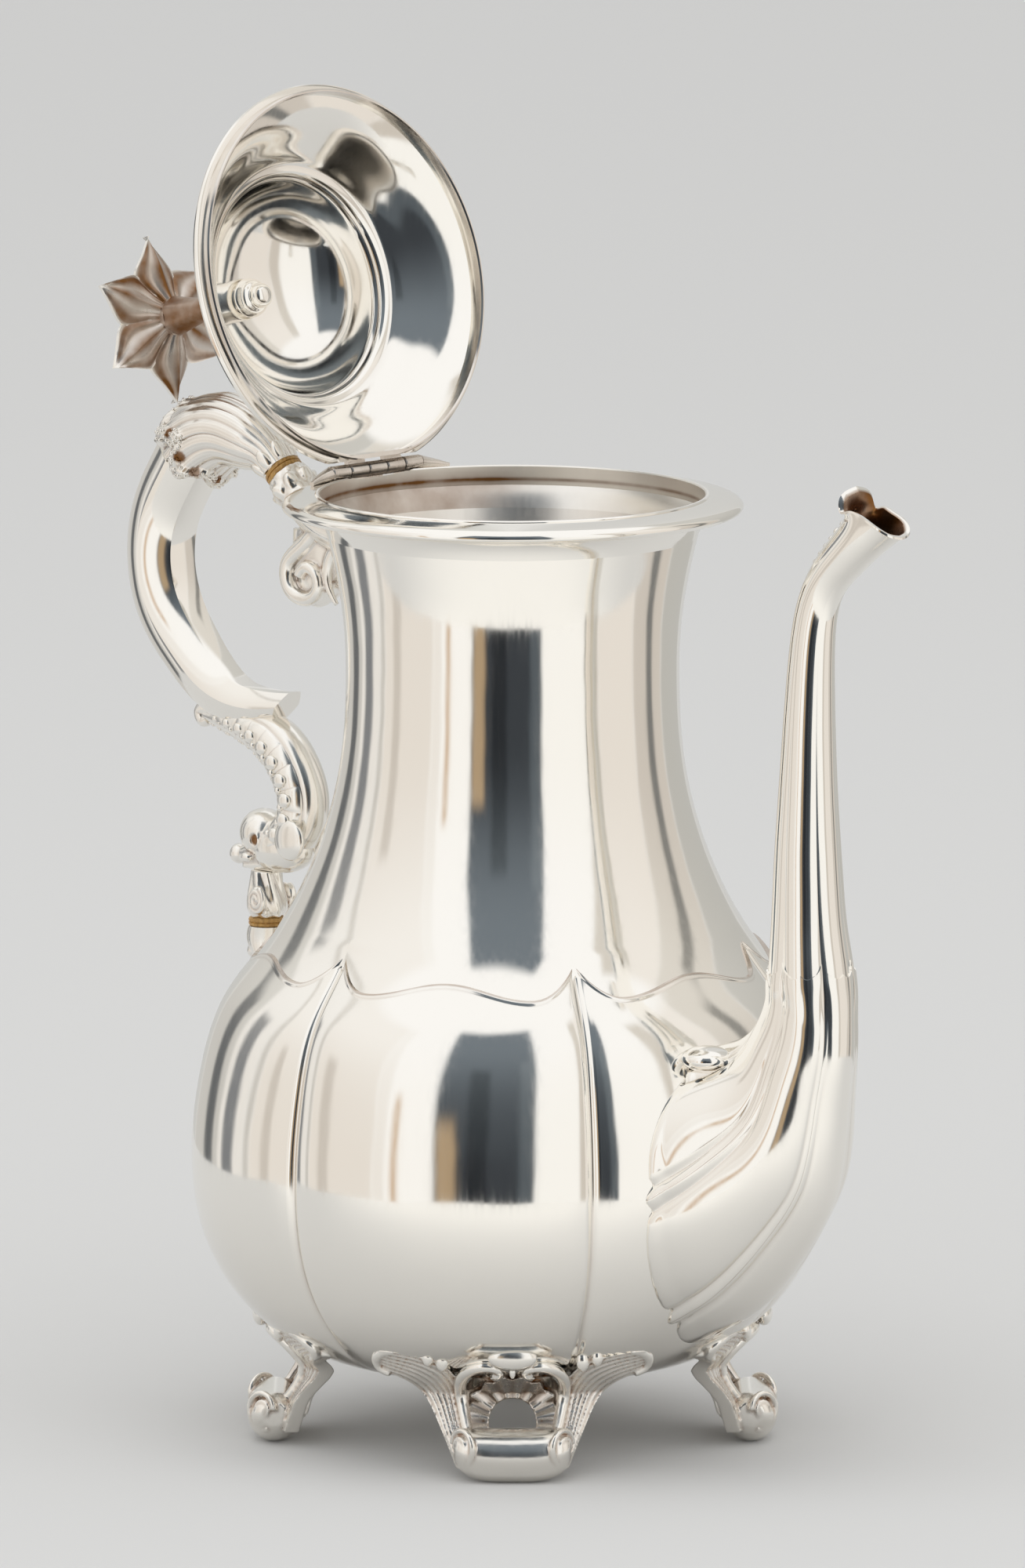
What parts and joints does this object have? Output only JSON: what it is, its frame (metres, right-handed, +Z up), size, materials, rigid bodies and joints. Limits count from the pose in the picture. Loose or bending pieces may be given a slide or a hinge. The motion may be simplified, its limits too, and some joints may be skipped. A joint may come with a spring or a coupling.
{
  "type": "coffee pot",
  "caption": "Lobed silver coffee pot on scroll feet, with a swan-neck spout, a dolphin handle with bone heat breaks and a hinged domed lid with a flower finial, shown open.",
  "frame": {"origin": "on the pot's axis, at the level of the table that the feet stand on", "axes": "+Z up, +X along the spout, with the handle at -X and the hinge pin along Y"},
  "size_m": [0.2255, 0.1294, 0.2807],
  "materials": {
    "polished_silver": "polished",
    "bone": "satin"
  },
  "bodies": {
    "pot": {"lower_body": "polished_silver", "upper_body": "polished_silver", "mouth_band": "polished_silver", "rim_moulding": "polished_silver", "spout_lower": "polished_silver", "spout_upper": "polished_silver", "spout_crest": "polished_silver", "foot_spout_left": "polished_silver", "foot_handle_left": "polished_silver", "foot_handle_right": "polished_silver", "foot_spout_right": "polished_silver", "handle_upper_socket": "polished_silver", "upper_insulator": "bone", "upper_insulator_pins": "polished_silver", "handle_leaf_cap": "polished_silver", "handle_grip": "polished_silver", "handle_tail": "polished_silver", "dolphin_head": "polished_silver", "lower_collar": "polished_silver", "lower_insulator": "bone", "lower_insulator_pins": "polished_silver", "handle_lower_socket": "polished_silver", "body_knuckles": "polished_silver", "hinge_pin": "polished_silver"},
    "lid": {"lid_dome": "polished_silver", "lid_flange": "polished_silver", "lid_bezel": "polished_silver", "finial_stem": "polished_silver", "finial_petals": "polished_silver", "finial_stud": "polished_silver", "finial_nut": "polished_silver", "lid_knuckles": "polished_silver"}
  },
  "joints": [
    {"name": "lid_hinge", "type": "hinge", "parent": "pot", "child": "lid", "pos_m": [-0.041, 0, 0.2015], "axis": [0, -1, 0], "range_deg": [-105, 0]}
  ]
}
